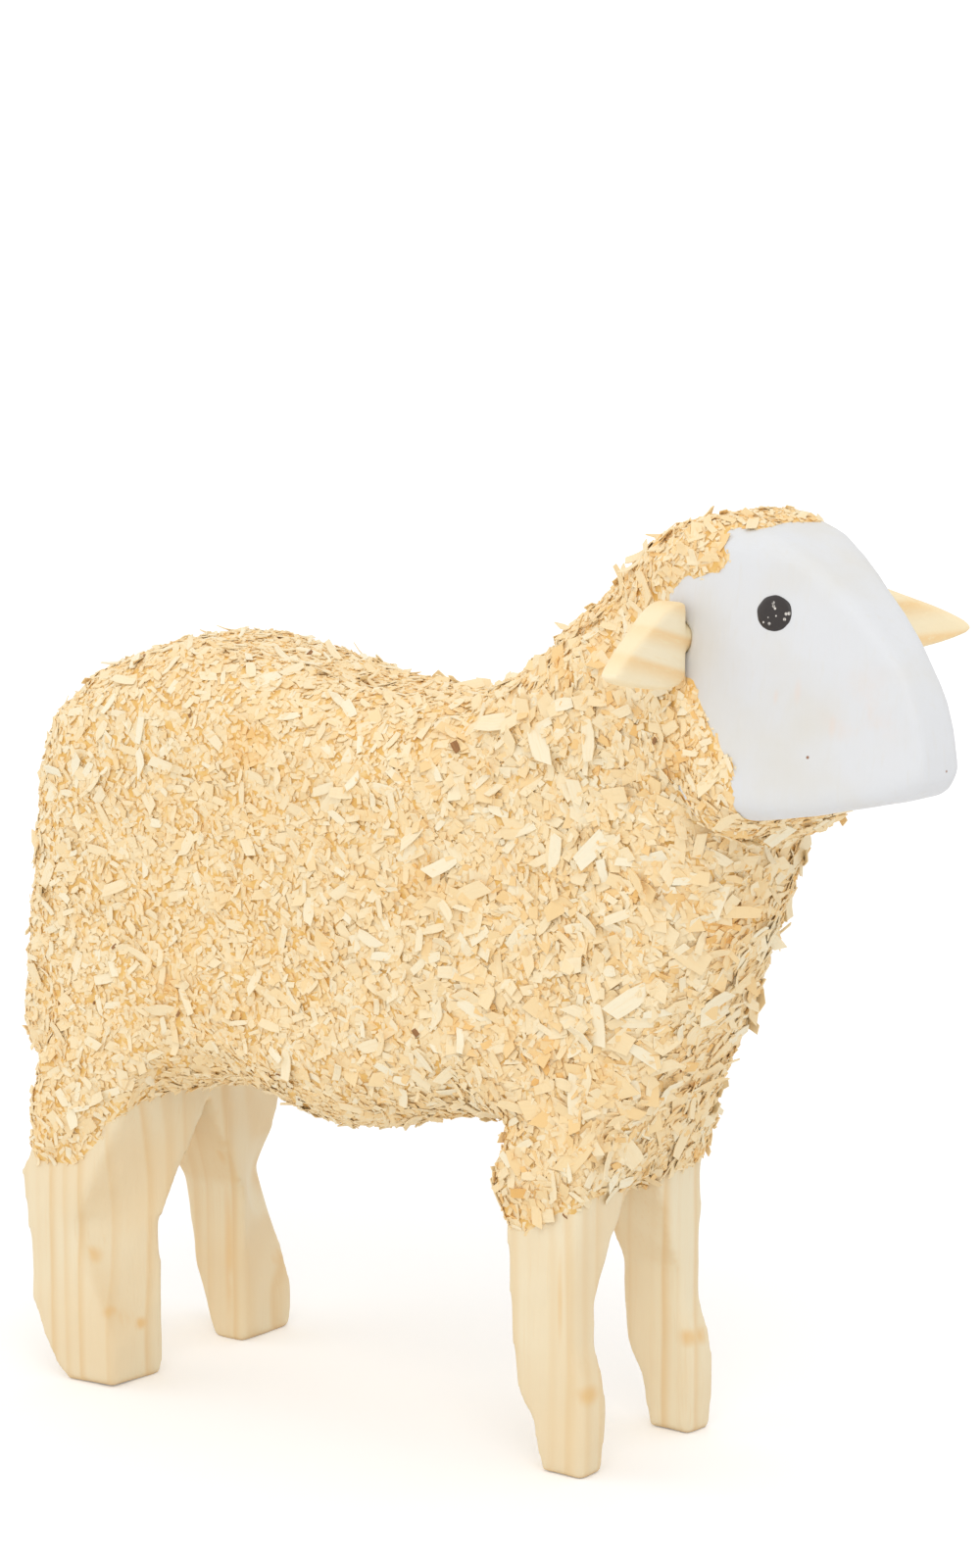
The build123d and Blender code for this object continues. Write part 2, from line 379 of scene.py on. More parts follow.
def ringsIn(tree, grainPlace, look):    # how dark the growth rings are, from 0 to 1
    flat = stretched(tree, grainPlace, (1, 1, look["grainRun"]))
    wires = {0: flat, 1: look["ringCentre"]}
    radius = put(tree, "VectorMath", wires, operation="DISTANCE").outputs["Value"]
    swayPlace = stretched(tree, grainPlace, (1, 1, look["swayRun"]))
    sway = calc(tree, "SUBTRACT", noiseAt(tree, swayPlace, look["swaySize"]), 0.5)
    swayed = calc(tree, "ADD", radius, calc(tree, "MULTIPLY", sway, look["wander"] * 2))
    turns = calc(tree, "DIVIDE", swayed, look["ringSpacing"])
    ring = calc(tree, "FRACT", turns)
    fade = calc(tree, "SUBTRACT", 1.0, limits(tree, ring, *look["ringFall"]))
    line = calc(tree, "MULTIPLY", limits(tree, ring, *look["ringRise"]), fade)
    wires = {"W": turns, "Scale": look["yearChange"], "Detail": 1.0}
    strength = put(tree, "TexNoise", wires, noise_dimensions="1D").outputs[0]
    return calc(tree, "MULTIPLY", line, limits(tree, strength, *look["ringFaint"]))


def woodFinish(name, look, turn, patches=()):
    finish, tree, shader = newFinish(name, look["roughness"])
    place = placeIn(tree)
    grainPlace = put(tree, "Mapping", {"Vector": place, "Rotation": turn}).outputs[0]
    rings = ringsIn(tree, grainPlace, look)
    drift = noiseAt(tree, grainPlace, look["driftSize"], 2.0)
    ground = mixed(tree, limits(tree, drift, *look["driftRange"]), look["pale"], look["warm"])
    ringed = tinted(tree, rings, look["ringShare"], ground, look["ringLine"])
    fibrePlace = stretched(tree, grainPlace, (1, 1, look["grainRun"]))
    fibre = noiseAt(tree, fibrePlace, look["fibreSize"], 4.0)
    fibred = mixed(tree, limits(tree, fibre, *look["fibreRange"]), ringed, look["warm"])
    facing = put(tree, "NewGeometry", {}).outputs["Normal"]
    up = put(tree, "SeparateXYZ", {0: facing}).outputs["Z"]
    slope = limits(tree, calc(tree, "ABSOLUTE", up), *look["slopeRange"])
    colour = tinted(tree, slope, look["slopeShare"], fibred, look["endGrain"])
    for spots, tall, share in patches:
        patchPlace = stretched(tree, place, (1, 1, look["patchRun"]))
        rough = noiseAt(tree, patchPlace, look["patchSize"], 2.0)
        patch = spotMask(tree, place, spots, look["patchSoft"], tall)
        patch = calc(tree, "MULTIPLY", patch, limits(tree, rough, *look["patchRange"]))
        colour = tinted(tree, patch, share, colour, look["amber"])
    tree.links.new(colour, shader.inputs["Base Color"])
    height = calc(tree, "ADD", fibre, calc(tree, "MULTIPLY", rings, look["ringRelief"]))
    bumped(tree, shader, height, look["relief"])
    return finish


def dressBody(look):
    body = nodes["body_block"]
    softenEdges(body, look)
    addKnifeCuts(body, look)
    patches = [
        (pixelSpots(look["amberPixels"], bodyTree), look["amberTall"], look["amberShare"]),
        (pixelSpots(look["stripePixels"], bodyTree), look["stripeTall"], look["stripeShare"]),
    ]
    setFinish(body, woodFinish("bareWood", look, (0.0, 0.0, 0.0), patches))


dressBody(legLook)
print("body dressed")


# ears and dowel, with the grain along their length

earLook = {
    **woodLook,
    "grainRise": 0.3,    # how much the grain climbs away from the head
    "ringCentre": (36 * mm, -45 * mm, 0.0),
    "ringSpacing": 4.2 * mm,
    "ringPixel": (655, 637),    # a dark ring passes through here
    "ringFaint": (0.1, 0.5),
    "wander": 0.5 * mm,
    "pale": screen(251, 239, 210),
    "warm": screen(250, 231, 190),
    "ringLine": screen(246, 208, 148),
    "endGrain": screen(246, 226, 184),
    "soften": 0.25 * mm,
    "softenRounds": 46,
}


def upright(along):    # the turn that stands a grain direction up
    return Vector(along).rotation_difference(Vector((0, 0, 1))).to_euler()


def centreForRing(look, turn, place):    # the rings' centre that brings a dark line to the place
    turned = turn.to_matrix() @ place
    centre = Vector(look["ringCentre"])
    offset = Vector((turned.x - centre.x, turned.y - centre.y, 0))
    share = offset.length / look["ringSpacing"]
    short = (math.floor(share) + look["ringDark"] - share) * look["ringSpacing"]
    return centre - offset.normalized() * short


def dressEar(name, look):
    ear = nodes[name]
    softenEdges(ear, look)
    rise = look["grainRise"] if name == "ear_left" else -look["grainRise"]
    setFinish(ear, woodFinish(name + "Wood", look, upright((0.0, 1.0, rise))))


earTree = BVHTree.FromBMesh(welded(["ear_left", "ear_right"]))
bandPlace = placeOf(earLook["ringPixel"], earTree)
if bandPlace is not None:
    nearGrain = upright((0.0, 1.0, -earLook["grainRise"]))
    earLook["ringCentre"] = centreForRing(earLook, nearGrain, bandPlace)

for name in ("ear_left", "ear_right"):
    dressEar(name, earLook)

dowelLook = {**earLook, "pale": screen(214, 178, 128), "warm": screen(204, 160, 108)}
dowel = nodes["neck_dowel"]
setFinish(dowel, woodFinish("dowelWood", dowelLook, upright(longAxis(dowel))))
print("ears and dowel dressed")


# white paint on the face, with painted shade on the side of the snout and in the slit at the ear's root

faceLook = {
    "roughness": 0.55,
    "white": screen(222, 223, 225),
    "warmWhite": screen(220, 217, 210),
    # tint of the painted shade on the side of the snout, also used for the grain streaks
    "shadeAndStreakTint": screen(228, 214, 204),
    "fleckAndShadowBrown": screen(150, 104, 76),
    "cloudSize": 70.0,
    "cloudRange": (0.4, 0.72),
    "brushSize": 1500.0,
    "brushRun": 0.06,
    "brushRange": (0.5, 0.8),
    "brushShare": 0.35,
    # painted shade: a warm grey patch on the side of the snout
    "snoutShadePixel": (880, 732, 8.0),    # this and the next two: across, down and radius in mm
    "streakPixels": [(814, 707, 0.8), (849, 742, 0.7), (792, 712, 0.5)],
    # the last two are painted shadow in the slit at the near ear's root
    "fleckAndSocketShadowPixels": [(824.5, 773, 0.3), (965, 787, 0.26), (695, 655, 0.4), (696.5, 659, 0.4)],
    "snoutShadeSoft": 1.0,
    "snoutShadeSize": 260.0,
    "snoutShadeRange": (0.42, 0.75),
    "snoutShadeShare": 0.6,
    "streakSoft": 0.9,
    "streakTall": 3.0,
    "streakShare": 0.5,
    "fleckAndShadowSoft": 0.5,
    "relief": 0.03 * mm,
    "cloudRelief": 2.0,
    "soften": 0.4 * mm,
    "softenRounds": 10,
    "knifeDepth": 0.3 * mm,
    "knifeSize": 6 * mm,
}


def facePaint(look):
    finish, tree, shader = newFinish("facePaint", look["roughness"])
    place = placeIn(tree)
    cloud = noiseAt(tree, place, look["cloudSize"])
    ground = mixed(tree, limits(tree, cloud, *look["cloudRange"]), look["white"], look["warmWhite"])
    brushPlace = stretched(tree, place, (1, 1, look["brushRun"]))
    brush = noiseAt(tree, brushPlace, look["brushSize"], 4.0)
    brushMarks = limits(tree, brush, *look["brushRange"])
    brushed = tinted(tree, brushMarks, look["brushShare"], ground, look["warmWhite"])
    # painted shade: the side of the snout tinted warmer and greyer, broken up by noise
    patch = spotMask(tree, place, pixelSpots([look["snoutShadePixel"]], headTree), look["snoutShadeSoft"])
    snoutShadeBreakup = limits(tree, noiseAt(tree, place, look["snoutShadeSize"], 4.0), *look["snoutShadeRange"])
    shadeAndStreakTint = tinted(tree, calc(tree, "MULTIPLY", patch, snoutShadeBreakup), look["snoutShadeShare"], brushed, look["shadeAndStreakTint"])
    streakSpots = pixelSpots(look["streakPixels"], headTree)
    streaks = spotMask(tree, place, streakSpots, look["streakSoft"], look["streakTall"])
    streaked = tinted(tree, streaks, look["streakShare"], shadeAndStreakTint, look["shadeAndStreakTint"])
    # brown flecks, and painted shadow in the slit at the near ear's root
    flecksAndSocketShadow = spotMask(tree, place, pixelSpots(look["fleckAndSocketShadowPixels"], headTree), look["fleckAndShadowSoft"])
    colour = mixed(tree, flecksAndSocketShadow, streaked, look["fleckAndShadowBrown"])
    tree.links.new(colour, shader.inputs["Base Color"])
    height = calc(tree, "ADD", brush, calc(tree, "MULTIPLY", cloud, look["cloudRelief"]))
    bumped(tree, shader, height, look["relief"])
    return finish


def dressFace(look):
    head = nodes["head_block"]
    softenEdges(head, look)
    addKnifeCuts(head, look)
    setFinish(head, facePaint(look))


dressFace(faceLook)
print("face painted")


# eyes, drops of black paint that follow the cheek

eyeLook = {
    "rings": 12,
    "spokes": 56,
    "proud": 0.26 * mm,
    "sunk": 0.3 * mm,
    "ragged": 0.035,
    "raggedSize": 2.5,
    "raggedPick": 0.3,    # another value gives another ragged edge
    "castFrom": 4 * mm,    # how far off the cheek its shape is felt from
    "roughness": 0.42,
    "black": screen(42, 35, 33),
    "dry": screen(222, 216, 208),
    "scrapePixels": [    # across, down and radius in mm
        (789, 615, 0.26), (789.5, 618.5, 0.24), (791, 621, 0.2), (802, 626.5, 0.24), (805, 626, 0.28),
        (800.5, 632, 0.24), (785, 636.5, 0.24), (779, 635, 0.17), (784, 630, 0.12), (792, 628.5, 0.14),
    ],
    "scrapeSoft": 0.5,
    "scrapeSize": 1900.0,
    "scrapeRun": 0.5,
    "scrapeRange": (0.36, 0.5),
    "relief": 0.03 * mm,
}


def eyePaint(look):
    finish, tree, shader = newFinish("eyePaint", look["roughness"])
    place = placeIn(tree)
    scrapePlace = stretched(tree, place, (1.0, 1.0, look["scrapeRun"]))
    scrape = noiseAt(tree, scrapePlace, look["scrapeSize"], 2.0)
    spots = pixelSpots(look["scrapePixels"], headTree, look["proud"])
    marks = spotMask(tree, place, spots, look["scrapeSoft"])
    bare = calc(tree, "MULTIPLY", marks, limits(tree, scrape, *look["scrapeRange"]))
    tree.links.new(mixed(tree, bare, look["black"], look["dry"]), shader.inputs["Base Color"])
    bumped(tree, shader, scrape, look["relief"])
    return finish


def raggedEdge(angle, look):    # how far out the paint reaches, about 1
    around = Vector((math.cos(angle), math.sin(angle), look["raggedPick"]))
    return 1 + look["ragged"] * noise.noise(around * look["raggedSize"])


def addEye(node, name, look, finish):
    points = pointsOf(nodes[node].data)
    middle = Vector(points.mean(axis=0))
    centre, facing = headTree.find_nearest(middle)[:2]
    side = Vector((0, 0, 1)).cross(facing).normalized()
    up = facing.cross(side)
    offsets = points - np.array(centre)
    halfWide = np.ptp(offsets @ np.array(side)) / 2
    halfHigh = np.ptp(offsets @ np.array(up)) / 2
    shape = bmesh.new()

    def layer(height):
        hub = shape.verts.new(centre + facing * height(0.0))
        rows = []
        for ring in range(1, look["rings"] + 1):
            share = ring / look["rings"]
            row = []
            for spoke in range(look["spokes"]):
                angle = 2 * math.pi * spoke / look["spokes"]
                edge = raggedEdge(angle, look)
                flat = centre + side * (halfWide * share * edge * math.cos(angle))
                flat = flat + up * (halfHigh * share * edge * math.sin(angle))
                hit = headTree.ray_cast(flat + facing * look["castFrom"], -facing)[0]
                row.append(shape.verts.new((hit or flat) + facing * height(share)))
            rows.append(row)
        return hub, rows

    def joinRows(inner, outer, flip):
        for spoke in range(look["spokes"]):
            after = (spoke + 1) % look["spokes"]
            corners = [inner[spoke], outer[spoke], outer[after], inner[after]]
            shape.faces.new(corners[::-1] if flip else corners)

    layers = [
        layer(lambda share: look["proud"] * math.sqrt(max(0.0, 1 - share ** 4))),
        layer(lambda share: -look["sunk"]),
    ]
    for (hub, rows), flip in zip(layers, (False, True)):
        for spoke in range(look["spokes"]):
            corners = [hub, rows[0][spoke], rows[0][(spoke + 1) % look["spokes"]]]
            shape.faces.new(corners[::-1] if flip else corners)
        for inner, outer in zip(rows, rows[1:]):
            joinRows(inner, outer, flip)
    joinRows(layers[0][1][-1], layers[1][1][-1], False)
    bmesh.ops.recalc_face_normals(shape, faces=shape.faces)
    for face in shape.faces:
        face.smooth = True
    eye = newObject(name, meshOf(shape, name))
    setFinish(eye, finish)
    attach(eye, "root")
    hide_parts(node)


eyeFinish = eyePaint(eyeLook)
addEye("eye_left", "eyeLeftPaint", eyeLook, eyeFinish)
addEye("eye_right", "eyeRightPaint", eyeLook, eyeFinish)
print("eyes painted")


# where things lie on the sheep

eyeMiddles = [Vector(pointsOf(nodes[name].data).mean(axis=0)) for name in ("eye_right", "eye_left")]
headMiddle = (eyeMiddles[0] + eyeMiddles[1]) / 2
headSide = (eyeMiddles[0] - eyeMiddles[1]).normalized()
jointPlace = Vector(pointsOf(dowel.data).mean(axis=0))
jointUp = longAxis(dowel)
if jointUp.z < 0:
    jointUp = -jointUp


def foldedToNearSide(points):    # far half of the head mirrored onto the near half
    side = (points - np.array(headMiddle)) @ np.array(headSide)
    return points - 2 * np.minimum(side, 0)[:, None] * np.array(headSide)


def overJoint(points):    # how far points lie on the head's side of the neck joint
    return (points - np.array(jointPlace)) @ np.array(jointUp)


def alongBody(points):    # 0 at the rump, 1 at the nose
    return (points[:, 0] - cadLow.x) / (cadHigh.x - cadLow.x)


# bed of the coat, crumbs and glue that end in a ragged hem

coatLook = {
    "coreVoxel": 0.8 * mm,
    "bedVoxel": 0.6 * mm,
    "bodyBed": 1.25 * mm,
    "headBed": 0.8 * mm,
    "headRun": 6 * mm,    # over this length the bed thins from body to head
    "bedLeast": 0.15 * mm,
    "bedSunk": 0.5 * mm,    # how deep it lies under bare wood
    "lumps": 0.45 * mm,
    "lumpSize": 3.2 * mm,
    "hemRun": 6.0 * mm,
    "hemWaver": 1.4 * mm,
    "waverSize": 4 * mm,
    "keepBelowHem": 2.5 * mm,
    "reach": 0.35 * mm,    # wood nearer than this to the coat's solid is coated
    "faceAbove": 92 * mm,
    "facePixels": [    # edge of the painted face on the near side, then round in front of it
        (838, 529), (811, 533), (791, 537), (772, 542), (757, 539), (744, 543), (744, 563), (751, 566),
        (738, 586), (715, 590), (696, 594), (684, 610), (682, 642), (692, 683), (705, 692), (719, 720),
        (726, 743), (742, 768), (753, 776), (748, 798), (757, 835), (1000, 860), (1000, 480), (842, 516),
    ],
    "roughness": 0.72,
    # partly painted shade: the bed shows in the gaps between shavings, and its darker golden tone stands in
    # for their shade
    "gapShadeTone": screen(234, 188, 106),
    "bedTone": screen(244, 212, 152),
    "crumbSize": 900.0,
    "crumbRange": (0.38, 0.68),
    "relief": 0.06 * mm,
}


def coatedSkin(look):
    blocks = welded(["body_block", "head_block", "neck_dowel"])
    core = voxelSkin(meshOf(blocks, "core"), look["coreVoxel"])
    fleece = BVHTree.FromBMesh(welded(["body_fleece", "head_fleece"]))
    points = pointsOf(core)
    gaps = np.array([fleece.find_nearest(Vector(point))[3] for point in points])
    painted = insideLoop(*pixelsOf(foldedToNearSide(points)), look["facePixels"])
    bare = np.where(points[:, 2] > look["faceAbove"], painted, gaps > look["reach"])
    bareTree, coatedTree = treeOf(points[bare]), treeOf(points[~bare])
    depth = []    # how far inside the coat's edge, minus outside it
    for point, isBare in zip(points, bare):
        depth.append(-coatedTree.find(point)[2] if isBare else bareTree.find(point)[2])
    return core, points, np.array(depth)


core, corePoints, coreDepth = coatedSkin(coatLook)
coreTree = treeOf(corePoints)
print("coat edge found")


def depthAt(point):
    return coreDepth[coreTree.find(point)[1]]


def coatBed(look):
    waver = noiseOver(corePoints, look["waverSize"])
    lumps = noiseOver(corePoints, look["lumpSize"])
    inside = (coreDepth + waver * look["hemWaver"]) / look["hemRun"]
    onHead = overJoint(corePoints) / look["headRun"]
    thick = look["bodyBed"] + (look["headBed"] - look["bodyBed"]) * eased(onHead)
    rise = eased(inside) * (thick + lumps * look["lumps"]) + look["bedLeast"]
    rise = np.where(inside < 0, -look["bedSunk"], rise)
    moved = corePoints + normalsOf(core) * rise[:, None]
    shape = bmesh.new()
    shape.from_mesh(core)
    shape.verts.ensure_lookup_table()
    for vert, place in zip(shape.verts, moved):
        vert.co = place
    far = [vert for vert, depth in zip(shape.verts, coreDepth) if depth < -look["keepBelowHem"]]
    bmesh.ops.delete(shape, geom=far, context="VERTS")
    bmesh.ops.holes_fill(shape, edges=[edge for edge in shape.edges if edge.is_boundary])
    return voxelSkin(meshOf(shape, "bed"), look["bedVoxel"])


bed = coatBed(coatLook)
bedTree = BVHTree.FromPolygons(
    [tuple(vert.co) for vert in bed.vertices],
    [tuple(face.vertices) for face in bed.polygons],
)
print("coat bed made", len(bed.polygons))


def bedFinish(look):
    finish, tree, shader = newFinish("coatBedFinish", look["roughness"])
    # darker golden mottling of the bed, partly painted shade for the gaps between shavings
    crumbs = noiseAt(tree, placeIn(tree), look["crumbSize"])
    colour = mixed(tree, limits(tree, crumbs, *look["crumbRange"]), look["gapShadeTone"], look["bedTone"])
    tree.links.new(colour, shader.inputs["Base Color"])
    bumped(tree, shader, crumbs, look["relief"])
    return finish


def addBed(name, node, keepAbove, finish):
    shape = bmesh.new()
    shape.from_mesh(bed)
    everything = list(shape.verts) + list(shape.edges) + list(shape.faces)
    bmesh.ops.bisect_plane(
        shape, geom=everything, plane_co=jointPlace, plane_no=jointUp,
        clear_inner=keepAbove, clear_outer=not keepAbove,
    )
    bmesh.ops.holes_fill(shape, edges=[edge for edge in shape.edges if edge.is_boundary])
    for face in shape.faces:
        face.smooth = True
    part = newObject(name, meshOf(shape, name))
    setFinish(part, finish)
    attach(part, "root")
    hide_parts(node)


bedPaint = bedFinish(coatLook)
addBed("bodyCoatBed", "body_fleece", False, bedPaint)
addBed("headCoatBed", "head_fleece", True, bedPaint)
print("coat beds added")


# shavings glued all over the bed, in three layers

shavingLook = {    # what the three layers share
    "spread": 0.34,    # of the lengths
    "gauge": (0.09 * mm, 0.17 * mm),
    "chestFrom": 0.25,    # shares of the body's length over which rump turns to chest
    "chestRun": 0.45,
    "rumpSize": 0.82,
    "chestSize": 1.18,
    "headSize": 0.8,
    "hemSize": 0.6,
    "hemSizeRun": 3 * mm,
    "liftDraw": (1.3, 2.6),
    "rumpLift": 0.5,
    "headLift": 0.55,
    "hemLift": 0.35,
    "hemLiftRun": 2.5 * mm,
    "curlMiddle": 0.1,
    "skew": 0.18,
    "taper": 0.68,
    "rootShare": 0.45,
    "toneDraw": (1.7, 2.2),
    "toneMiddle": 0.44,
    "rumpSpread": 0.62,
    "chestTone": 0.06,
    "shadePatchTone": 0.3,
    "shadePatchPixels": [    # golden patches of painted shade: across, down and radius in mm
        (172, 1005, 3.4), (690, 765, 5.0), (745, 950, 6.0), (465, 1045, 3.0), (610, 1100, 4.0),
        (62, 1030, 3.0), (540, 1225, 4.0), (430, 900, 5.0), (250, 760, 5.0),
    ],
    "barkOneIn": 0,
    "barkTone": 1.5,
    "edgeSlack": 0.6 * mm,    # how far past the coat's edge a shaving may lie
    "earRoom": 0.5 * mm,
    "rumpTo": 0.3,
    "flankTo": 0.56,
    "triesEach": 3,
}
packedLook = {
    **shavingLook,
    "name": "Packed",
    "spacing": 0.8 * mm,
    "length": 1.8 * mm,
    "shortest": 0.9 * mm,
    "longest": 3.6 * mm,
    "slimmest": 0.34,
    "widest": 0.72,
    "liftMost": 0.15,
    "riseMost": 0.3 * mm,
    "curl": 0.24,
    "roll": 0.13,
    "sunk": 0.03 * mm,
    # darker, more golden tones for this lower layer: painted shade where it lies under the loose shavings
    "tones": (0.12, 0.85),
    "sections": 3,
    "seed": 41,
}
looseLook = {
    **shavingLook,
    "name": "Loose",
    "spacing": 2.0 * mm,
    "length": 2.4 * mm,
    "shortest": 0.9 * mm,
    "longest": 4.6 * mm,
    "slimmest": 0.26,
    "widest": 0.52,
    "liftMost": 0.3,
    "riseMost": 0.55 * mm,
    "curl": 0.42,
    "roll": 0.22,
    "sunk": -0.16 * mm,
    # paler tones for this top layer, against the painted shade of the packed layer below
    "tones": (0.0, 0.55),
    "sections": 4,
    "seed": 42,
}
crumbLook = {
    **shavingLook,
    "name": "Crumb",
    "spacing": 0.85 * mm,
    "length": 0.85 * mm,
    "shortest": 0.45 * mm,
    "longest": 1.4 * mm,
    "slimmest": 0.4,
    "widest": 0.95,
    "liftMost": 0.36,
    "riseMost": 0.26 * mm,
    "curl": 0.0,
    "roll": 0.3,
    "sunk": -0.14 * mm,
    "tones": (0.05, 1.0),
    "barkOneIn": 1500,
    "sections": 2,
    "seed": 43,
}
chipLook = {    # finish of every shaving
    "roughness": 0.72,
    "regionSize": 48.0,
    "regionShare": 0.35,
    "fibreSize": 3200.0,
    "fibreRun": 0.08,
    "fibreRange": (0.45, 0.8),
    "fibreShare": 0.3,
    "fibreTone": screen(244, 210, 154),
    "tones": [
        (0.0, screen(246, 238, 213)),
        (0.3, screen(246, 227, 188)),
        (0.6, screen(245, 217, 166)),
        (0.85, screen(243, 204, 140)),
        (0.97, screen(238, 189, 114)),
    ],
    "barkRange": (1.2, 1.3),
    "barkDark": screen(112, 74, 42),
    "barkPale": screen(182, 130, 76),
    "relief": 0.06 * mm,
}


def chipFinish(look):
    finish, tree, shader = newFinish("shavingFinish", look["roughness"])
    tone = put(tree, "Attribute", {}, attribute_name="tone").outputs["Fac"]
    region = calc(tree, "SUBTRACT", noiseAt(tree, placeIn(tree), look["regionSize"]), 0.5)
    drifted = calc(tree, "ADD", tone, calc(tree, "MULTIPLY", region, look["regionShare"]))
    fibrePlace = put(tree, "Attribute", {}, attribute_name="fibre").outputs["Vector"]
    fibre = noiseAt(tree, stretched(tree, fibrePlace, (look["fibreRun"], 1, 1)), look["fibreSize"])
    fibres = limits(tree, fibre, *look["fibreRange"])
    wood = tinted(tree, fibres, look["fibreShare"], ramped(tree, drifted, look["tones"]), look["fibreTone"])
    bark = mixed(tree, fibre, look["barkDark"], look["barkPale"])
    colour = mixed(tree, limits(tree, tone, *look["barkRange"]), wood, bark)
    tree.links.new(colour, shader.inputs["Base Color"])
    bumped(tree, shader, fibre, look["relief"])
    return finish


def spacedOut(spots, spacing):    # which spots keep the spacing from all kept before them
    taken = {}
    kept = []
    steps = (-1, 0, 1)
    around = [(x, y, z) for x in steps for y in steps for z in steps]
    for index, (x, y, z) in enumerate(np.floor(spots / spacing).astype(int).tolist()):
        spot = spots[index]
        near = [taken.get((x + a, y + b, z + c), ()) for a, b, c in around]
        gaps = (spot - other for group in near for other in group)
        if any(np.dot(gap, gap) < spacing ** 2 for gap in gaps):
            continue
        taken.setdefault((x, y, z), []).append(spot)
        kept.append(index)
    return kept


def scatter(mesh, look, draw):    # random places on the mesh, and which way it faces there
    mesh.calc_loop_triangles()
    triangles = np.empty(len(mesh.loop_triangles) * 3, int)
    mesh.loop_triangles.foreach_get("vertices", triangles)
    triangles = triangles.reshape(-1, 3)
    corners = pointsOf(mesh)[triangles]
    crossed = np.cross(corners[:, 1] - corners[:, 0], corners[:, 2] - corners[:, 0])
    areas = np.linalg.norm(crossed, axis=1)
    facing = normalsOf(mesh)[triangles].mean(axis=1)
    tries = int(areas.sum() / 2 / look["spacing"] ** 2 * look["triesEach"])
    pick = draw.choice(len(areas), tries, p=areas / areas.sum())
    root = np.sqrt(draw.random(tries))[:, None]
    slide = draw.random(tries)[:, None]
    first, second, third = (corners[pick, corner] for corner in range(3))
    spots = first * (1 - root) + second * root * (1 - slide) + third * root * slide
    kept = spacedOut(spots, look["spacing"])
    return spots[kept], unit(facing[pick[kept]])


def shadePatchAt(places, look):    # how much golden painted shade the coat has here, from 0 to 1
    shadePatch = np.zeros(len(places))
    for centre, size in pixelSpots(look["shadePatchPixels"], bedTree):
        gap = np.linalg.norm(places - np.array(centre), axis=1)
        shadePatch = np.maximum(shadePatch, eased(1 - gap / size))
    return shadePatch


def chipSizes(sizes, look, draw):    # each shaving's length, width and thickness
    count = len(sizes)
    length = draw.lognormal(math.log(look["length"]), look["spread"], count)
    length = np.clip(length, look["shortest"], look["longest"]) * sizes
    width = length * draw.uniform(look["slimmest"], look["widest"], count)
    return length, width, draw.uniform(*look["gauge"], count)


def chipAxes(normals, roll, draw):    # each shaving's directions: ahead, across and over it
    clearOfUp = np.abs(normals[:, 2:]) < 0.9
    helper = np.where(clearOfUp, [[0.0, 0.0, 1.0]], [[1.0, 0.0, 0.0]])
    first = unit(np.cross(helper, normals))
    second = np.cross(normals, first)
    heading = draw.uniform(0, 2 * math.pi, (len(normals), 1))
    ahead = first * np.cos(heading) + second * np.sin(heading)
    level = np.cross(normals, ahead)
    across = level * np.cos(roll)[:, None] + normals * np.sin(roll)[:, None]
    over = normals * np.cos(roll)[:, None] - level * np.sin(roll)[:, None]
    return ahead, across, over


def chipFaces(count, sections):    # strips of four-cornered sections, closed at both ends
    perChip = sections * 4
    quads = []
    for low in range(0, perChip - 4, 4):
        for corner in range(4):
            after = (corner + 1) % 4
            quads.append((low + corner, low + after, low + 4 + after, low + 4 + corner))
    quads.append((3, 2, 1, 0))
    quads.append((perChip - 4, perChip - 3, perChip - 2, perChip - 1))
    return (np.array(quads)[None] + (np.arange(count) * perChip)[:, None, None]).reshape(-1, 4)


def chipTones(places, forward, look, draw):    # 0 is cream, 1 golden, and above that is bark
    lowTone, highTone = look["tones"]
    spread = draw.beta(*look["toneDraw"], len(places)) - look["toneMiddle"]
    spread = spread * fadedIn(look["rumpSpread"], forward)
    tone = lowTone + (highTone - lowTone) * (look["toneMiddle"] + spread)
    # painted shade: golden patches added to the tone
    tone = tone + look["shadePatchTone"] * shadePatchAt(places, look) + look["chestTone"] * forward
    if look["barkOneIn"]:
        tone[draw.random(len(places)) < 1 / look["barkOneIn"]] = look["barkTone"]
    return tone


